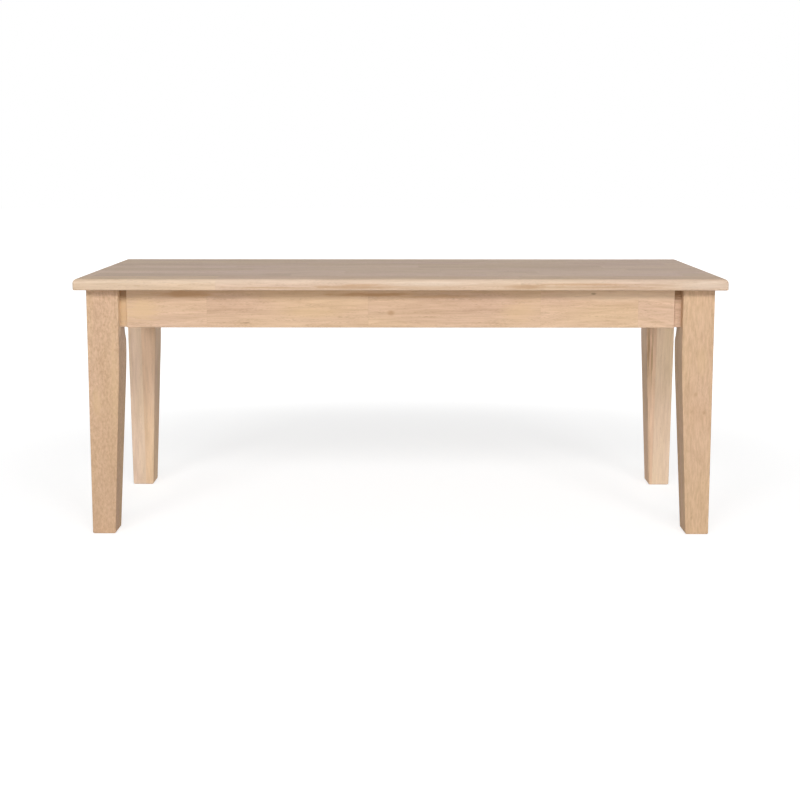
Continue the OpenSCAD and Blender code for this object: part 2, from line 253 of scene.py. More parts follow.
def outer_stave(number, sizes, material):
    """The front or back stave: its edge profile carried round three sides of the panel.

    For each inset and height of the profile the path goes from the glue line along one end,
    round a corner, along the bench, round the other corner and back to the glue line.
    """
    low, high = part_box(f"seat_stave_{number}")
    side = -1 if number == 1 else 1
    glue = high.y if side < 0 else -low.y
    width = high.y - low.y
    path, worn = seat_edge(sizes)
    path = np.concatenate([[[width, path[0, 1]]], path, [[width, path[-1, 1]]]])
    worn = np.concatenate([[0], worn, [0]])
    inset, height = path.T[:, :, None]
    end = high.x - inset
    front = glue - width + inset
    radius = sizes.plan_corner * (1 - inset / width) ** 2
    run = np.linspace(0, 1, 3)[:-1]
    turn = np.radians(np.linspace(180, 270, 7))
    along = np.linspace(-1, 1, 9)[1:-1]
    corner_y = front + radius
    straight_x = -end + 0 * run
    straight_y = glue + (corner_y - glue) * run
    turn_x = -end + radius * (1 + np.cos(turn))
    turn_y = corner_y + radius * np.sin(turn)
    middle_x = (end - radius) * along
    middle_y = front + 0 * along
    half_x = np.concatenate([straight_x, turn_x], axis=1)
    half_y = np.concatenate([straight_y, turn_y], axis=1)
    x = np.concatenate([half_x, middle_x, -half_x[:, ::-1]], axis=1)
    y = np.concatenate([half_y, middle_y, half_y[:, ::-1]], axis=1)
    sheet = grid_points(x, -side * y, height)
    rows, columns = x.shape
    faces = grid_faces(rows, columns, False)
    index = np.arange(rows * columns).reshape(rows, columns)
    rim = [index[:, 0], index[-1, 1:-1], index[::-1, -1], index[0, -2:0:-1]]
    faces.append(np.concatenate(rim).tolist())
    edges = worn[:, None] + 0 * x
    bench_piece(f"seat_stave_{number}", "wood", sheet, edges, faces, material)


def apron_rings(half, tip, sizes, housing):
    """Sections of an apron along its length u, as points (u, depth from the leg's face, height).

    The section is a board with eased lower edges. Between the tip and the shoulder its outer
    face is set back to leave the tongue, and at the housing its inner face is cut back.
    """
    ease = sizes.apron_ease
    setback = APRON_LOW.y - LEG_LOW.y
    inner = setback + sizes.apron_thickness
    rounding = np.radians(np.linspace(0, 90, 5))
    u = [[tip, half], half - ease * (1 - np.cos(rounding)), [half - 3 * ease]]
    face = [[setback + sizes.tongue_rebate] * 2, setback + ease * (1 - np.sin(rounding))]
    face.append([setback])
    worn = [[0, 0], np.ones(len(rounding)), [0]]
    cut = [np.zeros(len(rounding) + 3)]
    if housing:
        across = (RAIL_HIGH.x - RAIL_LOW.x) / 2
        u.append([across, across])
        face.append([setback] * 2)
        worn.append([0, 0])
        cut.append([0, housing])
    u, face, worn, cut = (np.concatenate(v)[:, None] for v in (u, face, worn, cut))
    low = APRON_LOW.z
    high = APRON_HIGH.z
    ledge = RAIL_LOW.z
    outer_arc = arc((ease, low + ease), ease, 180, 270, 4)
    inner_arc = arc((inner - ease, low + ease), ease, 270, 360, 4)
    depth = np.concatenate([
        face + 0 * u,
        face + 0 * u,
        face + outer_arc[None, :, 0],
        0 * u + inner_arc[None, :, 0],
        inner + 0 * u,
        inner + 0 * u,
        inner - cut,
        inner - cut,
    ], axis=1)
    level = np.concatenate([
        [high, low + 3 * ease],
        outer_arc[:, 1],
        inner_arc[:, 1],
        [low + 3 * ease, ledge, ledge, high],
    ])
    soft = np.concatenate([[0, 0], np.ones(len(outer_arc) + len(inner_arc)), [0, 0, 0, 0]])
    rings = grid_points(u, depth, level)
    edges = np.maximum(worn, soft) + 0 * depth
    mirrored = rings[::-1] * [-1, 1, 1]
    return np.concatenate([rings, mirrored]), np.concatenate([edges, edges[::-1]])


def apron(side, sizes, material):
    """Lays the rings of an apron along the front, the back or one end of the leg frame."""
    _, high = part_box(f"{side}_apron")
    lengthwise = side in ("front", "back")
    tip = high.x if lengthwise else high.y
    reach = -LEG_LOW.x if lengthwise else -LEG_LOW.y
    face = -LEG_LOW.y if lengthwise else -LEG_LOW.x
    half = reach - (LEG_HIGH.x - LEG_LOW.x) - sizes.tongue_reveal
    inner = APRON_LOW.y - LEG_LOW.y + sizes.apron_thickness
    housing = RAIL_HIGH.y - (face - inner) if lengthwise else 0
    rings, worn = apron_rings(half, tip, sizes, housing)
    u, depth, level = np.moveaxis(rings, -1, 0)
    sign = -1 if side in ("front", "left") else 1
    outward = sign * (face - depth)
    flat = (u, outward) if lengthwise else (outward, u)
    points = grid_points(*flat, level)
    bench_piece(f"{side}_apron", "wood", points, worn, skin(points), material)


def leg_levels(sizes):
    """Heights of a leg's sections, closer together at the sole, the bend and the run-out."""
    sole = sizes.sole_ease * (1 - np.cos(np.radians(np.linspace(0, 90, 5))))
    bend = sizes.taper_start + sizes.taper_blend * np.linspace(-0.5, 0.5, 9)
    drop = math.sqrt(sizes.flat_runout ** 2 - (sizes.flat_runout - sizes.corner_flat) ** 2)
    runout = APRON_LOW.z - drop * np.linspace(0, 1, 12)
    levels = [sole, [3 * sizes.sole_ease], bend, runout, [LEG_HIGH.z]]
    levels = np.unique(np.concatenate(levels).round(6))
    at_apron = np.searchsorted(levels, round(APRON_LOW.z, 6))
    return np.insert(levels, at_apron, levels[at_apron]), at_apron


def leg_half(corner, part, sizes, material):
    """One glued half of a leg, as sections at rising levels.

    A section is part of a square of width w, where w is the top width less the taper's slope
    times the distance below the bend, and the bend is a parabola. Its edges are quarter circles
    and its inner corner is cut by a flat, which runs out below the apron on a circle. Above
    the apron's lower edge a groove takes the tongue of each apron.
    """
    low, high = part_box(f"{corner}_leg_outer_half")
    split_front = corner.startswith("front")
    glue = high.y - low.y if split_front else high.x - low.x
    top_width = LEG_HIGH.x - LEG_LOW.x
    z, first_grooved = leg_levels(sizes)
    half_bend = sizes.taper_blend / 2
    below = sizes.taper_start - z
    slope = (top_width - sizes.leg_foot) / sizes.taper_start
    bend = np.clip(below + half_bend, 0, None) ** 2 / (4 * half_bend)
    w = (top_width - slope * np.where(below > half_bend, below, bend))[:, None]
    rise = np.clip(1 - z / sizes.sole_ease, 0, 1)
    s = (sizes.sole_ease * (1 - np.sqrt(1 - rise ** 2)))[:, None]
    e = sizes.leg_ease
    grooved = (np.arange(len(z)) > first_grooved)[:, None]
    setback = APRON_LOW.y - LEG_LOW.y
    start = setback + sizes.tongue_rebate
    stop = setback + sizes.apron_thickness
    depth = sizes.tongue_depth * grooved
    drop = np.clip(APRON_LOW.z - z, 0, sizes.flat_runout)[:, None]
    back = sizes.flat_runout - np.sqrt(sizes.flat_runout ** 2 - drop ** 2)
    place = (2 * top_width - sizes.corner_flat) / math.sqrt(2) + back
    cut = np.clip(2 * w - math.sqrt(2) * place, e, None)
    far = w - s
    turn = np.radians(np.linspace(0, 90, 5))
    cos, sin = np.cos(turn), np.sin(turn)
    if part == "outer":
        inner_x = far if stop < glue else far - depth
        end = min(stop, glue)
        x = [s, s, s + e * (1 - cos), far - e * (1 - cos[::-1]), far, far]
        y = [glue, 3 * e, s + e * (1 - sin), s + e * (1 - sin[::-1]), 3 * e, start]
        x += [far - depth, far - depth, inner_x, inner_x]
        y += [start, end, end, glue]
        worn = [[0, 0], np.ones(5), np.ones(5), np.zeros(6)]
    else:
        arc_x = far - cut * (1 - cos)
        arc_y = far - cut * (1 - sin)
        chord = np.linspace(0, 1, 5)
        round_share = np.clip((3 * e - cut) / (2 * e), 0, 1)
        corner_x = round_share * arc_x + (1 - round_share) * (far - cut * chord)
        corner_y = round_share * arc_y + (1 - round_share) * (far - cut * (1 - chord))
        near_x = far - (depth if stop > glue else 0)
        end = max(stop, glue)
        x = [s, near_x, near_x, far, far, corner_x, far - cut - 2 * e, stop]
        y = [glue, glue, end, end, far - cut - 2 * e, corner_y, far, far]
        x += [stop, start, start, 3 * e, s + e * (1 - sin), s]
        y += [far - depth, far - depth, far, far, far - e * (1 - cos), far - 3 * e]
        worn = [np.zeros(5), np.ones(5), np.zeros(6), np.ones(5), [0]]
    x, y = (np.concatenate([0 * w + value for value in row], axis=1) for row in (x, y))
    soft = np.concatenate(worn) + 0 * x
    soft[z < 1.01 * sizes.sole_ease] = 1
    if not split_front:
        x, y = y, x
    side_x, side_y = CORNERS[corner]
    world_x = side_x * (-LEG_LOW.x - x)
    world_y = side_y * (-LEG_LOW.y - y)
    rings = grid_points(world_x, world_y, z[:, None])
    node = f"{corner}_leg_{part}_half"
    bench_piece(node, "wood", rings, soft, skin(rings), material)


# Depth of a thread as a share of its pitch, and how many rings draw one turn of it
THREAD_DEPTH = 0.6
THREAD_RINGS = 6
# Bores, and the mouth of a nut's bore, as shares of the bolt's diameter
WASHER_BORE = 1.06
NUT_BORE = 0.94
NUT_MOUTH = 1.05
# Slope of the cone that cuts a nut's corners
NUT_SLOPE = math.tan(math.radians(30))


def on_diagonal(corner, across, up, place):
    """Moves points from a corner's own axes to the bench's.

    place runs inward along the corner's diagonal from the leg's outer edge, across lies level.
    """
    side_x, side_y = CORNERS[corner]
    root = math.sqrt(2)
    x = side_x * (-LEG_LOW.x - (place + across) / root)
    y = side_y * (-LEG_LOW.y - (place - across) / root)
    level = (BLOCK_LOW.z + BLOCK_HIGH.z) / 2
    return grid_points(x, y, level + up)


def around_bolts(node, suffix, radius, place, material, solid=False):
    """Carries one section round each of the four bolts, as one piece.

    radius from the bolt's axis and place along it are arrays of rings by steps of a turn. The
    first and last ring meet, or are closed by flat faces where the section is solid.
    """
    angle = np.linspace(0, 2 * math.pi, radius.shape[1], endpoint=False)
    across = radius * np.cos(angle)
    up = radius * np.sin(angle)
    shells = np.stack([on_diagonal(corner, across, up, place) for corner in CORNERS])
    band = skin(radius) if solid else grid_faces(*radius.shape, True)
    faces = [[point + number * radius.size for point in face]
             for number in range(len(shells)) for face in band]
    worn = np.zeros(shells.shape[:-1])
    bench_piece(node, suffix, shells, worn, faces, material)


def bolt_places(sizes):
    """Places along a corner's diagonal: bolt start, block's inner face, nut and bolt end."""
    top_width = LEG_HIGH.x - LEG_LOW.x
    flat = (2 * top_width - sizes.corner_flat) / math.sqrt(2)
    inner = flat + sizes.block_gap + sizes.block_thickness
    nut = inner + sizes.washer_thickness
    end = nut + sizes.nut_height + sizes.bolt_proud
    return flat - sizes.bolt_in_leg, inner, nut, end


def bolts(sizes, material):
    """Hanger bolts, whose radius falls and rises with a helix.

    At angle a and place p the radius is the bolt's own less the thread's depth times 1 - d,
    where d is twice the distance of (p / pitch - a / one turn) from the nearest whole number.
    Both ends run out in a chamfer of the same depth.
    """
    start, _, _, end = bolt_places(sizes)
    rings = int(THREAD_RINGS * (end - start) / sizes.thread_pitch)
    place = np.linspace(start, end, rings)[:, None]
    turn = np.linspace(0, 1, 24, endpoint=False)
    phase = place / sizes.thread_pitch - turn
    groove = 2 * np.abs(phase - np.round(phase))
    depth = THREAD_DEPTH * sizes.thread_pitch
    lead = np.clip(1 - np.minimum(place - start, end - place) / depth, 0, 1)
    radius = sizes.bolt_diameter / 2 - depth * np.maximum(1 - groove, lead)
    around_bolts("hanger_bolts", "threaded", radius, place, material, solid=True)


def washers(sizes, material):
    """Washers: a rounded flat section carried round the bolt."""
    _, inner, _, _ = bolt_places(sizes)
    bore = WASHER_BORE * sizes.bolt_diameter / 2
    rim = sizes.washer_diameter / 2
    thick = sizes.washer_thickness
    soft = thick / 4
    radius = np.array([bore, rim - soft, rim, rim, rim - soft, bore + soft, bore, bore])
    place = np.array([0, 0, soft, thick - soft, thick, thick, thick - soft, 0])
    radius = radius[:, None] + np.zeros(48)
    around_bolts("washers", "pressed", radius, place[:, None] + inner, material)


def nuts(sizes, material):
    """Hexagon nuts, whose corners are cut by a cone at each face.

    The hexagon's radius at angle a is half the flats over the cosine of the angle to the
    nearest flat, and the cone takes it down to a circle on the flats at both faces.
    """
    _, _, start, _ = bolt_places(sizes)
    sixth = math.pi / 3
    angle = np.linspace(0, 2 * math.pi, 72, endpoint=False)
    to_flat = (angle + sixth / 2) % sixth - sixth / 2
    flat = sizes.nut_flats / 2
    hexagon = flat / np.cos(to_flat)
    bore = NUT_BORE * sizes.bolt_diameter / 2
    mouth = NUT_MOUTH * sizes.bolt_diameter / 2
    chamfer = mouth - bore
    height = sizes.nut_height
    corner_drop = (flat / math.cos(sixth / 2) - flat) * NUT_SLOPE
    drop = corner_drop * (hexagon - flat) / (hexagon.max() - flat)
    face = 0.96 * flat
    lip = 0.02 * height
    radius = [bore, mouth, face, hexagon, hexagon, face, mouth, bore, bore]
    place = [chamfer, 0, 0, lip + drop, height - lip - drop, height, height,
             height - chamfer, chamfer]
    radius, place = (np.stack([value + 0 * angle for value in ring]) for ring in (radius, place))
    around_bolts("nuts", "chamfered", radius, place + start, material)


# ---- Materials ----


class Wiring:
    """Adds nodes to one node tree and joins them."""

    def __init__(self, tree):
        self.tree = tree

    def feed(self, socket, value):
        """Links a socket to another, or sets its value; a colour's fourth part is 1."""
        if isinstance(value, bpy.types.NodeSocket):
            self.tree.links.new(value, socket)
        elif socket.type == "RGBA":
            socket.default_value = (*value, 1.0)
        else:
            socket.default_value = value

    def add(self, kind, inputs=None, **settings):
        """Adds a node of a kind, with its settings and its inputs by name or number."""
        node = self.tree.nodes.new("ShaderNode" + kind)
        for key, value in settings.items():
            setattr(node, key, value)
        for key, value in (inputs or {}).items():
            self.feed(node.inputs[key], value)
        return node

    def math(self, operation, first, second=0.0, third=0.0):
        """Result of a sum on up to three numbers."""
        return self.add("Math", {0: first, 1: second, 2: third}, operation=operation).outputs[0]

    def vector(self, operation, first, second=(0.0, 0.0, 0.0)):
        """Result of a sum on one or two vectors."""
        return self.add("VectorMath", {0: first, 1: second}, operation=operation).outputs[0]

    def span(self, vector):
        """Length of a vector."""
        return self.add("VectorMath", {0: vector}, operation="LENGTH").outputs[1]

    def split(self, vector):
        """The three parts of a vector."""
        return self.add("SeparateXYZ", {0: vector}).outputs

    def join(self, *parts):
        """The vector of up to three parts."""
        return self.add("CombineXYZ", dict(enumerate(parts))).outputs[0]

    def mix(self, factor, first, second, blend="MIX"):
        """First colour, with the second laid over it by a factor."""
        inputs = {0: factor, 6: first, 7: second}
        return self.add("Mix", inputs, data_type="RGBA", blend_type=blend).outputs[2]

    def stain(self, shade, mask, strength, ink):
        """A shade, with an ink laid over it where a mask is 1 and by a strength."""
        return self.mix(self.math("MULTIPLY", mask, strength), shade, ink)

    def fade(self, value, low, high, start=0.0, end=1.0):
        """Smooth step of a value from start at low to end at high."""
        inputs = {0: value, 1: low, 2: high, 3: start, 4: end}
        return self.add("MapRange", inputs, interpolation_type="SMOOTHSTEP").outputs[0]

    def noise(self, vector, fineness, detail=2.0, roughness=0.5):
        """Cloud noise from 0 to 1, with a fineness along each axis in turns a metre."""
        inputs = {
            "Vector": self.vector("MULTIPLY", vector, fineness),
            "Scale": 1.0,
            "Detail": detail,
            "Roughness": roughness,
        }
        return self.add("TexNoise", inputs).outputs[0]

    def ramp(self, factor, stops):
        """Colour ramp through stops of (position, colour)."""
        node = self.add("ValToRGB", {0: factor})
        elements = node.color_ramp.elements
        while len(elements) < len(stops):
            elements.new(0.5)
        for element, (position, shade) in zip(elements, stops):
            element.position = position
            element.color = (*shade, 1.0)
        return node.outputs[0]


def clean_wiring(block):
    """Empties the node tree of a material or a world, and gives its wiring."""
    block.use_nodes = True
    block.node_tree.nodes.clear()
    return Wiring(block.node_tree)


def node_group(name, inputs, outputs):
    """A new shader node group: its wiring, the sockets it is given and those of its result.

    inputs are (name, kind, default) and outputs are (name, kind).
    """
    tree = bpy.data.node_groups.new(name, "ShaderNodeTree")
    for label, kind, default in inputs:
        socket = tree.interface.new_socket(label, in_out="INPUT", socket_type="NodeSocket" + kind)
        socket.default_value = default
    for label, kind in outputs:
        tree.interface.new_socket(label, in_out="OUTPUT", socket_type="NodeSocket" + kind)
    start = tree.nodes.new("NodeGroupInput")
    end = tree.nodes.new("NodeGroupOutput")
    return Wiring(tree), start.outputs, end.inputs


def glued_blocks_group():
    """Splits a board into blocks glued end to end, each with its own tone and grain."""
    wiring, given, result = node_group(
        "Glued blocks",
        [("Vector", "Vector", (0, 0, 0)), ("Along", "Float", 0.0), ("Row", "Float", 0.0),
         ("Stagger", "Float", STAGGER), ("Seam width", "Float", 0.0025)],
        [("Vector", "Vector"), ("Tone", "Float"), ("Hue", "Float"), ("Seam", "Float")],
    )
    shift = wiring.add("TexWhiteNoise", {"W": given["Row"]}, noise_dimensions="1D").outputs[0]
    along = wiring.math("ADD", given["Along"], wiring.math("MULTIPLY", shift, given["Stagger"]))
    place = wiring.join(wiring.math("FLOOR", along), given["Row"], 0.5)
    random = wiring.add("TexWhiteNoise", {"Vector": place}, noise_dimensions="3D").outputs[1]
    scatter = wiring.vector("MULTIPLY", random, (7.0, 0.0, 0.0))
    wiring.feed(result["Vector"], wiring.vector("ADD", given["Vector"], scatter))
    tone, hue, _ = wiring.split(random)
    wiring.feed(result["Tone"], tone)
    wiring.feed(result["Hue"], hue)
    inside = wiring.math("PINGPONG", wiring.math("FRACT", along), 0.5)
    near = wiring.math("DIVIDE", inside, given["Seam width"])
    wiring.feed(result["Seam"], wiring.fade(near, 0.4, 1.0, 1.0, 0.0))
    return wiring.tree


def timber_group():
    """Figure, fibres, pores and flecks of a pale hardwood, with its grain along x.

    The figure is noise on the distance from a pith that wanders beside the board, so that a
    sawn face shows long bands and arches. The rest is noise stretched along the grain.
    """
    wiring, given, result = node_group(
        "Timber grain",
        [("Vector", "Vector", (0, 0, 0)), ("Normal", "Vector", (0, 0, 1)), ("Seed", "Float", 0.0),
         ("Ring width", "Float", 0.01), ("Flecks along", "Float", 75.0),
         ("Fibres along", "Float", 16.0)],
        [("Bands", "Float"), ("Fibres", "Float"), ("Clouds", "Float"), ("Warmth", "Float"),
         ("Pores", "Float"), ("Flecks", "Float"), ("Ends", "Float")],
    )
    steps = [wiring.math("MULTIPLY", given["Seed"], step) for step in (3.7, 0.9, 1.3)]
    place = wiring.vector("ADD", given["Vector"], wiring.join(*steps))
    _, across, up = wiring.split(given["Vector"])
    drift = wiring.noise(place, (0.8, 0.4, 0.4), 1.0)
    slow = wiring.noise(place, (3.0, 14.0, 14.0))
    away_y = wiring.math("ADD", across, wiring.math("MULTIPLY_ADD", drift, 0.5, 0.05))
    away_z = wiring.math("ADD", up, wiring.math("MULTIPLY", drift, 0.35))
    radius = wiring.span(wiring.join(away_y, away_z))
    radius = wiring.math("ADD", radius, wiring.math("MULTIPLY", slow, 0.05))
    turns = wiring.math("DIVIDE", radius, given["Ring width"])
    bands = wiring.add("TexNoise", {"W": turns, "Scale": 1.0, "Detail": 3.0, "Roughness": 0.6},
                       noise_dimensions="1D").outputs[0]
    fibres = wiring.noise(place, wiring.join(given["Fibres along"], 280.0, 280.0), 4.0, 0.62)
    clouds = wiring.noise(place, (5.0, 26.0, 26.0), 3.0, 0.55)
    warmth = wiring.noise(wiring.vector("ADD", place, (5.0, 5.0, 5.0)), (4.0, 17.0, 17.0))
    cells = wiring.add("TexVoronoi", {
        "Vector": wiring.vector("MULTIPLY", place, (120.0, 1250.0, 1250.0)),
        "Scale": 1.0,
    })
    crowd = wiring.noise(place, (14.0, 160.0, 160.0), 1.0)
    reach = wiring.fade(crowd, 0.35, 0.75, 0.10, 0.42)
    pores = wiring.fade(wiring.math("DIVIDE", cells.outputs[0], reach), 0.7, 1.15, 1.0, 0.0)
    wiring.feed(result["Pores"], pores)
    flecks = wiring.noise(place, wiring.join(given["Flecks along"], 330.0, 330.0), 2.0, 0.55)
    facing = wiring.math("ABSOLUTE", wiring.split(given["Normal"])[0])
    for label, value, low, high in (
        ("Bands", bands, 0.25, 0.75),
        ("Fibres", fibres, 0.25, 0.75),
        ("Clouds", clouds, 0.25, 0.75),
        ("Warmth", warmth, 0.3, 0.7),
        ("Flecks", flecks, 0.56, 0.74),
        ("Ends", facing, 0.75, 0.95),
    ):
        wiring.feed(result[label], wiring.fade(value, low, high))
    return wiring.tree


def mark_group():
    """A knot, a streak or a patch of painted light and shade: 1 inside an uneven ellipsoid, fading
    to 0 at its reach.
    """
    wiring, given, result = node_group(
        "Wood mark",
        [("Vector", "Vector", (0, 0, 0)), ("Grain", "Vector", (0, 0, 0)),
         ("Place", "Vector", (0, 0, 0)), ("Size", "Vector", (1, 1, 1))],
        [("Mark", "Float")],
    )
    away = wiring.vector("SUBTRACT", given["Vector"], given["Place"])
    distance = wiring.span(wiring.vector("DIVIDE", away, given["Size"]))
    rough = wiring.noise(given["Grain"], (40.0, 420.0, 420.0), 3.0, 0.6)
    distance = wiring.math("ADD", distance, wiring.math("MULTIPLY_ADD", rough, 1.2, -0.6))
    wiring.feed(result["Mark"], wiring.fade(distance, 0.2, 1.0, 1.0, 0.0))
    return wiring.tree


# Blocks by which the joints of one row may be shifted against the next
STAGGER = 17.0
# Half the length of the longest board with given joints, and the most blocks in it
JOINT_REACH = 0.6
JOINT_BLOCKS = 8
# How far a worn edge goes back to the plain colour of its wood
WEAR = 0.3
# Roughness of the wood between and on its fibres, and how much a pore adds
SMOOTH_WOOD = 0.52
FIBROUS_WOOD = 0.62
PORE_ROUGHNESS = 0.2

# How strongly a timber shows each part of its figure, the width of a growth ring in metres,
# and how many flecks and fibres follow each other in a metre
LOOK = {
    "tone": 0.5,
    "bands": 0.22,
    "fibres": 0.34,
    "clouds": 0.24,
    "blocks": 0.22,
    "tints": 0.8,
    "pores": 0.35,
    "flecks": 0.25,
    "seams": 0.10,
    "ring": 0.012,
    "dashes": 75.0,
    "strands": 16.0,
    "warmth": 0.0,
    # Painted shade: how much darker faces that look up are drawn, as a top gets less light
    "handled": 0.0,
}


def joint_places(wiring, place, joints):
    """Place along a board, in a count that goes up by 1 from joint to joint."""
    stops = [(0.5 + joint / (2 * JOINT_REACH), (number / JOINT_BLOCKS,) * 3)
             for number, joint in enumerate((-JOINT_REACH, *joints, JOINT_REACH))]
    share = wiring.math("MULTIPLY_ADD", place, 0.5 / JOINT_REACH, 0.5)
    return wiring.math("MULTIPLY", wiring.ramp(share, stops), JOINT_BLOCKS)


def wood(name, colours, base, seed, along=None, row=None, turn=(0.0, 0.0, 0.0), marks=(),
         **changed):
    """A wood whose grain runs along x once the object's coordinates are turned.

    along is the length of a block, or the places of the joints, or None for a board in one
    piece. row is the width of a stave, or None where the piece is one stave. marks are knots,
    streaks and patches of painted light and shade, each with its place, its size, its strength
    and its colour. What is changed is a key of LOOK.
    """
    look = {**LOOK, **changed}
    groups = shared_groups()
    material = bpy.data.materials.new(name)
    wiring = clean_wiring(material)
    source = wiring.add("TexCoord").outputs
    place = source["Object"]
    turned = wiring.add("Mapping", {"Vector": place, "Rotation": turn}).outputs[0]
    facing = wiring.add("Mapping", {"Vector": source["Normal"], "Rotation": turn},
                        vector_type="VECTOR").outputs[0]
    lengthwise, crosswise, _ = wiring.split(turned)
    row_number = wiring.math("FLOOR", wiring.math("DIVIDE", crosswise, row)) if row else seed
    stagger = STAGGER
    block_place = 0.5
    if isinstance(along, tuple):
        stagger = 0.0
        block_place = joint_places(wiring, lengthwise, along)
    elif along:
        block_place = wiring.math("DIVIDE", lengthwise, along)
    blocks = wiring.add("Group", {
        "Vector": turned,
        "Along": block_place,
        "Row": row_number,
        "Stagger": stagger,
    }, node_tree=groups["Glued blocks"]).outputs
    grain = wiring.add("Group", {
        "Vector": blocks["Vector"],
        "Normal": facing,
        "Seed": seed,
        "Ring width": look["ring"],
        "Flecks along": look["dashes"],
        "Fibres along": look["strands"],
    }, node_tree=groups["Timber grain"]).outputs
    tone = look["tone"]
    for socket, key in ((grain["Bands"], "bands"), (grain["Fibres"], "fibres"),
                        (grain["Clouds"], "clouds"), (blocks["Tone"], "blocks")):
        swing = wiring.math("SUBTRACT", socket, 0.5)
        tone = wiring.math("MULTIPLY_ADD", swing, look[key], tone)
    deep = colours.dark_grain_and_shade_tint
    bright = [2 - value for value in deep]
    shade = wiring.mix(1.0, base, wiring.mix(tone, deep, bright), "MULTIPLY")
    pinker = wiring.math("MULTIPLY_ADD", grain["Warmth"], 0.6, look["warmth"])
    warmth = wiring.math("MULTIPLY_ADD", blocks["Hue"], 0.4, pinker)
    tint = wiring.mix(warmth, colours.straw_tint, colours.pink_tint)
    shade = wiring.mix(look["tints"], shade, tint, "MULTIPLY")
    sawn = wiring.mix(1.0, shade, colours.end_grain, "MULTIPLY")
    shade = wiring.mix(grain["Ends"], shade, sawn)
    shade = wiring.stain(shade, grain["Flecks"], look["flecks"], colours.streak_and_shade_wood)
    shade = wiring.stain(shade, grain["Pores"], look["pores"], colours.pore_and_shade_wood)
    shade = wiring.stain(shade, blocks["Seam"], look["seams"], colours.pore_and_shade_wood)
    for spot, size, strength, ink in marks:
        mark = wiring.add("Group", {
            "Vector": place,
            "Grain": turned,
            "Place": spot,
            "Size": size,
        }, node_tree=groups["Wood mark"]).outputs[0]
        shade = wiring.stain(shade, mark, strength, ink)
    # Painted shade: faces that look up darkened by the dark grain tint, for less light on top
    if look["handled"]:
        upward = wiring.split(source["Normal"])[2]
        handled = wiring.fade(upward, 0.85, 0.99, 0.0, look["handled"])
        shade = wiring.mix(handled, shade, wiring.mix(1.0, shade, deep, "MULTIPLY"))
    worn = wiring.add("Attribute", attribute_name="worn_edge").outputs["Fac"]
    rub = wiring.math("MULTIPLY", worn, wiring.noise(place, (60.0, 60.0, 60.0)))
    shade = wiring.stain(shade, rub, WEAR, base)
    fibres = wiring.math("MULTIPLY", grain["Fibres"], 0.4)
    height = wiring.math("MULTIPLY_ADD", grain["Pores"], -0.6, fibres)
    bump = wiring.add("Bump", {"Strength": 0.3, "Distance": 0.0003, "Height": height})
    rough = wiring.fade(grain["Fibres"], 0.0, 1.0, SMOOTH_WOOD, FIBROUS_WOOD)
    rough = wiring.math("MULTIPLY_ADD", grain["Pores"], PORE_ROUGHNESS, rough)
    surface = wiring.add("BsdfPrincipled", {
        "Base Color": shade,
        "Roughness": rough,
        "Normal": bump.outputs[0],
        "IOR": 1.45,
        "Specular IOR Level": 0.40,
    })
    wiring.add("OutputMaterial", {"Surface": surface.outputs[0]})
    return material


def zinc(colours):
    """Zinc-plated steel: a bright metal with a faint blue and yellow bloom and fine scuffs."""
    material = bpy.data.materials.new("Zinc-plated steel")
    wiring = clean_wiring(material)
    place = wiring.add("TexCoord").outputs["Object"]
    cloud = wiring.noise(place, (180.0, 180.0, 180.0), 3.0, 0.6)
    bluish, yellowish = (0.60, 0.64, 0.70), (0.72, 0.69, 0.60)
    bloom = wiring.ramp(cloud, [(0.3, bluish), (0.55, colours.zinc), (0.75, yellowish)])
    scuff = wiring.noise(place, (900.0, 900.0, 900.0), 3.0, 0.7)
    bump = wiring.add("Bump", {"Strength": 0.2, "Distance": 0.0001, "Height": scuff})
    surface = wiring.add("BsdfPrincipled", {
        "Base Color": bloom,
        "Metallic": 1.0,
        "Roughness": wiring.fade(scuff, 0.3, 0.7, 0.24, 0.42),
        "Normal": bump.outputs[0],
    })
    wiring.add("OutputMaterial", {"Surface": surface.outputs[0]})
    return material


def shared_groups():
    """The node groups that all the woods use, each made once."""
    makers = {
        "Glued blocks": glued_blocks_group,
        "Timber grain": timber_group,
        "Wood mark": mark_group,
    }
    return {label: bpy.data.node_groups.get(label) or make() for label, make in makers.items()}


def marks_on(y, depth, rows):
    """Marks on a face at y, from rows of (x, z, length, height, strength, colour)."""
    return [((x, y, z), (long, depth, high), strength, ink)
            for x, z, long, high, strength, ink in rows]


# ---- Studio ----

# The photograph's camera: its place, how far it looks down and to the left in degrees, its
# lens and sensor in millimetres, and the shift of its lens in widths of the picture
CAMERA_PLACE = (0.0080, -2.1655, 0.6946)
CAMERA_DOWN = 5.99
CAMERA_LEFT = 0.24
CAMERA_LENS = 50.17
CAMERA_SENSOR = 36.0
CAMERA_SHIFT = -0.1607

# Half the width of the floor, and how far it lies below the feet
FLOOR_REACH = 12.0
FLOOR_DROP = 0.0002
# The floor as the camera sees it: its grey, its glow near the bench and far from it, and the
# distances between which the glow rises
FLOOR_GREY = 0.45
FLOOR_GLOW = (0.72, 1.0)
GLOW_RISE = (0.5, 1.6)
# Even light from all sides
WORLD_LIGHT = 0.254

WHITE = (1.0, 1.0, 1.0)


def softbox(name, aim, azimuth, elevation, distance, size, power):
    """An area lamp at an angle round the point that it is aimed at."""
    lamp = bpy.data.lights.new(name, "AREA")
    lamp.shape = "RECTANGLE"
    lamp.size, lamp.size_y = size
    lamp.energy = power
    holder = bpy.data.objects.new(name, lamp)
    level = distance * math.cos(elevation)
    offset = Vector((level * math.sin(azimuth), -level * math.cos(azimuth),
                     distance * math.sin(elevation)))
    holder.location = Vector(aim) + offset
    holder.rotation_euler = (-offset).to_track_quat("-Z", "Y").to_euler()
    bpy.context.scene.collection.objects.link(holder)


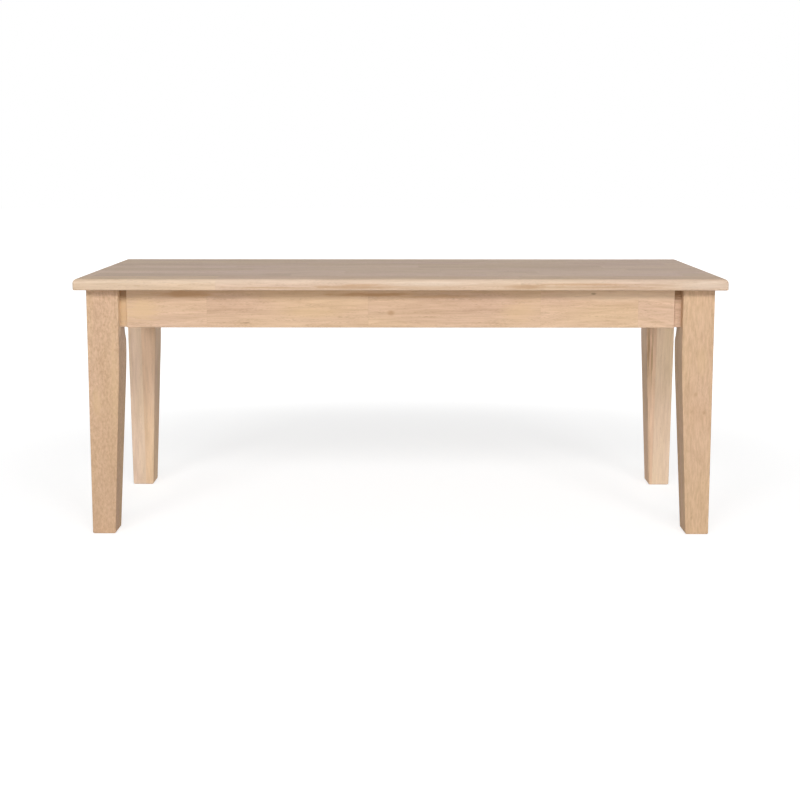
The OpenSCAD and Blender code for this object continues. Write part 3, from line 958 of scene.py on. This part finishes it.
def studio_camera():
    """The photograph's camera, whose optical axis passes above the middle of the frame."""
    data = bpy.data.cameras.new("Camera")
    data.lens = CAMERA_LENS
    data.sensor_width = CAMERA_SENSOR
    data.shift_y = CAMERA_SHIFT
    camera = bpy.data.objects.new("Camera", data)
    camera.location = CAMERA_PLACE
    camera.rotation_euler = (math.radians(90 - CAMERA_DOWN), 0.0, math.radians(CAMERA_LEFT))
    bpy.context.scene.collection.objects.link(camera)
    bpy.context.scene.camera = camera


def studio_floor(colours):
    """A wide pale floor, white to the camera but for the bench's shadow.

    The camera sees a grey floor that glows, less so near the bench, and the lamps light it up
    to white where no shadow falls.
    """
    side = np.linspace(-FLOOR_REACH, FLOOR_REACH, 9)
    points = grid_points(side, side[:, None], -FLOOR_DROP)
    mesh = bpy.data.meshes.new("Floor")
    mesh.from_pydata(points.reshape(-1, 3).tolist(), [], grid_faces(*points.shape[:2], False))
    floor = bpy.data.objects.new("Floor", mesh)
    bpy.context.scene.collection.objects.link(floor)
    material = bpy.data.materials.new("Studio floor")
    wiring = clean_wiring(material)
    plain = wiring.add("BsdfDiffuse", {"Color": colours.floor})
    shown = wiring.add("BsdfDiffuse", {"Color": [FLOOR_GREY] * 3})
    away = wiring.vector("MULTIPLY", wiring.add("TexCoord").outputs["Object"], (0.7, 1.0, 1.0))
    strength = wiring.fade(wiring.span(away), *GLOW_RISE, *FLOOR_GLOW)
    glow = wiring.add("Emission", {"Color": WHITE, "Strength": strength})
    white = wiring.add("AddShader", {0: shown.outputs[0], 1: glow.outputs[0]})
    rays = wiring.add("LightPath").outputs
    mixed = wiring.add("MixShader", {
        0: rays["Is Camera Ray"],
        1: plain.outputs[0],
        2: white.outputs[0],
    })
    wiring.add("OutputMaterial", {"Surface": mixed.outputs[0]})
    mesh.materials.append(material)


def studio_world():
    """White to the camera, to glass and to metal, and a low even light on the rest."""
    world = bpy.data.worlds.new("Studio")
    wiring = clean_wiring(world)
    low = wiring.add("Background", {"Color": WHITE, "Strength": WORLD_LIGHT})
    white = wiring.add("Background", {"Color": WHITE, "Strength": 1.0})
    rays = wiring.add("LightPath").outputs
    seen = wiring.math("MAXIMUM", rays["Is Camera Ray"], rays["Is Glossy Ray"])
    seen = wiring.math("MAXIMUM", seen, rays["Is Transmission Ray"])
    mixed = wiring.add("MixShader", {0: seen, 1: low.outputs[0], 2: white.outputs[0]})
    wiring.add("OutputWorld", {"Surface": mixed.outputs[0]})
    bpy.context.scene.world = world


# ---- Operators ----


class BENCH_OT_seat(bpy.types.Operator):
    """Makes the eight glued staves of the seat"""

    bl_idname = "bench.seat"
    bl_label = "Seat"

    def execute(self, context):
        sizes = context.scene.bench_sizes
        colours = context.scene.bench_colours
        # The staves' colour is partly painted shade for the lower light on the seat's top
        timber = wood("Stave timber", colours, colours.seat_wood, seed=4.0, along=0.36,
                      row=STAVE_ROW, blocks=0.20, bands=0.16, clouds=0.14, fibres=0.30)
        low = STAVE_LOW.z
        brown_and_shade, amber_and_shade, pale = colours.streak_and_shade_wood, colours.amber_and_shade_wood, colours.pale_wood
        streaks = marks_on(STAVE_LOW.y, 0.012, (
            (0.000, low + 0.002, 1.200, 0.0090, 0.15, amber_and_shade),
            (0.000, low + 0.017, 1.200, 0.0080, 0.22, pale),
            (-0.230, low + 0.005, 0.100, 0.0024, 0.60, brown_and_shade),
            (-0.080, low + 0.006, 0.120, 0.0042, 0.80, brown_and_shade),
            (-0.060, low + 0.010, 0.060, 0.0030, 0.50, amber_and_shade),
            (0.225, low + 0.007, 0.060, 0.0060, 0.75, brown_and_shade),
            (0.330, low + 0.011, 0.130, 0.0032, 0.55, amber_and_shade),
            (0.370, low + 0.006, 0.140, 0.0030, 0.55, brown_and_shade),
            (0.480, low + 0.010, 0.080, 0.0026, 0.30, brown_and_shade),
            (-0.530, low + 0.007, 0.140, 0.0150, 0.14, pale),
            (0.050, low + 0.012, 0.110, 0.0060, 0.40, pale),
            (0.540, low + 0.009, 0.090, 0.0110, 0.40, pale),
        ))
        # Painted shade darkens the front stave's top, for the lower light there
        front = wood("Front stave timber", colours, colours.front_stave_wood, seed=6.0,
                     along=(-0.330, 0.215), marks=streaks, seams=0.05, blocks=0.08, handled=0.4)
        outer_stave(1, sizes, front)
        for number in range(2, STAVES):
            inner_stave(number, sizes, timber)
        outer_stave(STAVES, sizes, timber)
        return {"FINISHED"}


class BENCH_OT_aprons(bpy.types.Operator):
    """Makes the four aprons with their tongues"""

    bl_idname = "bench.aprons"
    bl_label = "Aprons"

    def execute(self, context):
        sizes = context.scene.bench_sizes
        colours = context.scene.bench_colours
        base = colours.apron_wood
        face = APRON_LOW.y
        tongue = face + sizes.tongue_rebate
        pore_and_shade, brown_and_shade, gold_and_bounce = colours.pore_and_shade_wood, colours.streak_and_shade_wood, colours.gold_and_bounce_wood
        amber_and_shade, painted_light = colours.amber_and_shade_wood, colours.painted_light_wood
        marks = marks_on(face, 0.012, (
            # Painted light: a golden band along the top, warm bounce light in the seat's shadow
            (0.000, 0.4510, 1.200, 0.018, 0.35, gold_and_bounce),
        )) + marks_on(face, 0.040, (
            (-0.504, 0.4150, 0.020, 0.060, 0.85, gold_and_bounce),
        )) + marks_on(face, 0.012, (
            (-0.465, 0.4170, 0.040, 0.030, 0.65, gold_and_bounce),
            (-0.160, 0.4090, 0.070, 0.014, 0.40, gold_and_bounce),
            (0.215, 0.4130, 0.045, 0.024, 0.45, gold_and_bounce),
            (-0.390, 0.4440, 0.070, 0.009, 0.75, amber_and_shade),
            (-0.050, 0.4430, 0.120, 0.005, 0.85, amber_and_shade),
            (0.065, 0.4390, 0.090, 0.005, 0.45, amber_and_shade),
            # Painted light: a bright patch in the seat's shadow, right of the front apron
            (0.400, 0.4420, 0.190, 0.014, 0.40, painted_light),
            (-0.017, 0.4096, 0.009, 0.007, 0.80, brown_and_shade),
            (-0.278, 0.3914, 0.010, 0.002, 0.55, pore_and_shade),
            (0.349, 0.4443, 0.006, 0.003, 0.55, pore_and_shade),
        # Painted shade: dark patches at each tongue's top, where the seat and legs shade it
        )) + marks_on(tongue, 0.006, (
            (-0.502, 0.4470, 0.040, 0.018, 0.95, amber_and_shade),
            (-0.502, 0.4470, 0.040, 0.018, 0.55, pore_and_shade),
            (0.502, 0.4470, 0.040, 0.018, 0.95, amber_and_shade),
            (0.502, 0.4470, 0.040, 0.018, 0.55, pore_and_shade),
        ))
        joints = (-0.350, -0.058, 0.254, 0.430)
        front = wood("Front apron timber", colours, base, seed=24.0, along=joints, marks=marks,
                     blocks=0.16)
        back = wood("Back apron timber", colours, base, seed=9.0, along=0.31)
        end = wood("End apron timber", colours, base, seed=5.0, turn=(0.0, 0.0, math.radians(90)))
        for side, timber in (("front", front), ("back", back), ("left", end), ("right", end)):
            apron(side, sizes, timber)
        return {"FINISHED"}


class BENCH_OT_legs(bpy.types.Operator):
    """Makes the four tapered legs, each glued from two halves"""

    bl_idname = "bench.legs"
    bl_label = "Legs"

    def execute(self, context):
        sizes = context.scene.bench_sizes
        colours = context.scene.bench_colours
        upright = (0.0, math.radians(90), 0.0)
        face = LEG_LOW.y
        inner_side = LEG_HIGH.x
        back_face = -LEG_LOW.y - (LEG_HIGH.x - LEG_LOW.x)
        pore_and_shade, brown_and_shade, gold_and_bounce = colours.pore_and_shade_wood, colours.streak_and_shade_wood, colours.gold_and_bounce_wood
        amber_and_shade, painted_light = colours.amber_and_shade_wood, colours.painted_light_wood
        on_left = marks_on(face, 0.010, (
            (-0.519, 0.300, 0.008, 0.140, 0.45, gold_and_bounce),
            (-0.552, 0.245, 0.012, 0.040, 0.60, gold_and_bounce),
        # Painted light: a bright streak on the shaded inner side, beside the tongue
        )) + marks_on(face + 0.009, 0.016, (
            (inner_side, 0.420, 0.003, 0.070, 0.90, painted_light),
        # Painted shade: the leg's face darker towards its foot, where less light falls
        )) + marks_on(face, 0.030, (
            (-0.536, 0.080, 0.060, 0.320, 0.20, brown_and_shade),
        ))
        on_right = marks_on(face, 0.010, (
            (0.534, 0.031, 0.003, 0.006, 0.30, pore_and_shade),
            (0.545, 0.325, 0.014, 0.040, 0.45, gold_and_bounce),
            (0.537, 0.226, 0.040, 0.050, 0.13, amber_and_shade),
            (0.552, 0.228, 0.004, 0.005, 0.70, brown_and_shade),
            (0.536, 0.262, 0.004, 0.006, 0.60, brown_and_shade),
        # Painted shade: a dark patch on the leg's inner side, which lies in shade
        )) + marks_on(face + 0.028, 0.060, (
            (0.001 - inner_side, 0.345, 0.004, 0.090, 0.22, pore_and_shade),
        ))
        on_back = marks_on(back_face, 0.030, (
            (0.514, 0.290, 0.004, 0.075, 0.90, brown_and_shade),
            (0.522, 0.275, 0.003, 0.085, 0.75, brown_and_shade),
            (0.516, 0.130, 0.002, 0.110, 0.60, brown_and_shade),
        ))
        speckled = {"bands": 0.04, "fibres": 0.60, "clouds": 0.20, "pores": 0.20,
                    "flecks": 0.80, "dashes": 200.0, "strands": 130.0, "marks": on_left}
        combed = {"bands": 0.04, "fibres": 0.50, "clouds": 0.12, "pores": 0.25,
                  "strands": 55.0, "marks": on_right}
        plain = {"bands": 0.10, "fibres": 0.26, "pores": 0.12, "flecks": 0.10}
        reddish = {**plain, "bands": 0.34, "ring": 0.005, "marks": on_back}
        looks = {
            "front_left outer": {**speckled, "tone": 0.42},
            "front_left inner": {**speckled, "tone": 0.60},
            "front_right outer": combed,
            "front_right inner": {**combed, "tone": 0.30},
            "back_left outer": {**plain, "tone": 0.58, "warmth": 0.40},
            "back_left inner": {**plain, "tone": 0.52, "warmth": 0.10},
            "back_right outer": {**plain, "tone": 0.60, "warmth": 0.10},
            "back_right inner": {**reddish, "tone": 0.53, "warmth": 0.25},
        }
        for number, (key, look) in enumerate(looks.items()):
            corner, part = key.split()
            # The back legs' woods are partly painted light
            back = colours.back_leg_wood_and_light if part == "outer" else colours.back_core_wood_and_light
            base = colours.front_leg_wood if corner.startswith("front") else back
            timber = wood(f"Leg timber {key.replace('_', ' ')}", colours, base,
                          seed=12.0 + number, turn=upright, **look)
            leg_half(corner, part, sizes, timber)
        return {"FINISHED"}


class BENCH_OT_braces(bpy.types.Operator):
    """Finishes the corner blocks and the centre rail under the seat"""

    bl_idname = "bench.braces"
    bl_label = "Blocks and rail"

    def execute(self, context):
        colours = context.scene.bench_colours
        eighth = math.radians(45)
        base = colours.block_wood
        rail = wood("Rail timber", colours, base, seed=31.0, turn=(0.0, 0.0, 2 * eighth))
        finish("centre_rail", rail)
        for number, (corner, (side_x, side_y)) in enumerate(CORNERS.items()):
            timber = wood(f"Block timber {corner.replace('_', ' ')}", colours, base,
                          seed=33.0 + number, turn=(0.0, 0.0, side_x * side_y * eighth))
            finish(f"{corner}_corner_block", timber)
        return {"FINISHED"}


def finish(node, material):
    """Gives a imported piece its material."""
    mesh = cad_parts[node].data
    mesh.materials.clear()
    mesh.materials.append(material)


class BENCH_OT_fasteners(bpy.types.Operator):
    """Makes the hanger bolts, washers and nuts, and finishes the wood screws"""

    bl_idname = "bench.fasteners"
    bl_label = "Fasteners"

    def execute(self, context):
        sizes = context.scene.bench_sizes
        steel = zinc(context.scene.bench_colours)
        bolts(sizes, steel)
        washers(sizes, steel)
        nuts(sizes, steel)
        finish("corner_block_screws", steel)
        finish("seat_screws", steel)
        return {"FINISHED"}


class BENCH_OT_studio(bpy.types.Operator):
    """Sets up the floor, the soft lamps and the camera"""

    bl_idname = "bench.studio"
    bl_label = "Studio"

    def execute(self, context):
        aim = (0.0, -0.1, 0.3)
        studio_floor(context.scene.bench_colours)
        studio_world()
        away = 6.0
        for name, azimuth, elevation, size, power in (
            ("Front softbox", 0, 36, (1.9, 1.0), 81),
            ("Left softbox", -27, 31, (1.9, 1.7), 84),
            ("Right softbox", 27, 31, (1.9, 1.7), 84),
            ("Low softbox", 0, 10, (8.0, 0.9), 53),
            ("Back softbox", 180, -1, (4.0, 0.5), 60),
        ):
            softbox(name, aim, math.radians(azimuth), math.radians(elevation), away, size, power)
        studio_camera()
        context.scene.view_settings.view_transform = "Standard"
        return {"FINISHED"}


OPERATORS = (
    BENCH_OT_seat,
    BENCH_OT_aprons,
    BENCH_OT_legs,
    BENCH_OT_braces,
    BENCH_OT_fasteners,
    BENCH_OT_studio,
)


class BENCH_PT_parts(bpy.types.Panel):
    """Lists the bench's pieces, sizes and colours"""

    bl_idname = "BENCH_PT_parts"
    bl_label = "Dining bench"
    bl_space_type = "VIEW_3D"
    bl_region_type = "UI"
    bl_category = "Bench"

    def draw(self, context):
        for operator in OPERATORS:
            self.layout.operator(operator.bl_idname)
        for group in (context.scene.bench_sizes, context.scene.bench_colours):
            column = self.layout.column(align=True)
            for key in group.__annotations__:
                column.prop(group, key)


CLASSES = (BenchSizes, BenchColours, *OPERATORS, BENCH_PT_parts)


def register():
    """Registers the classes and the properties of the scene."""
    for item in CLASSES:
        bpy.utils.register_class(item)
    bpy.types.Scene.bench_sizes = PointerProperty(type=BenchSizes)
    bpy.types.Scene.bench_colours = PointerProperty(type=BenchColours)


def unregister():
    """Takes the properties and the classes away again."""
    del bpy.types.Scene.bench_colours
    del bpy.types.Scene.bench_sizes
    for item in reversed(CLASSES):
        bpy.utils.unregister_class(item)


def main():
    """Builds the bench and its studio."""
    register()
    bpy.ops.bench.seat()
    bpy.ops.bench.aprons()
    bpy.ops.bench.legs()
    bpy.ops.bench.braces()
    bpy.ops.bench.fasteners()
    bpy.ops.bench.studio()


if __name__ == "__main__":
    main()
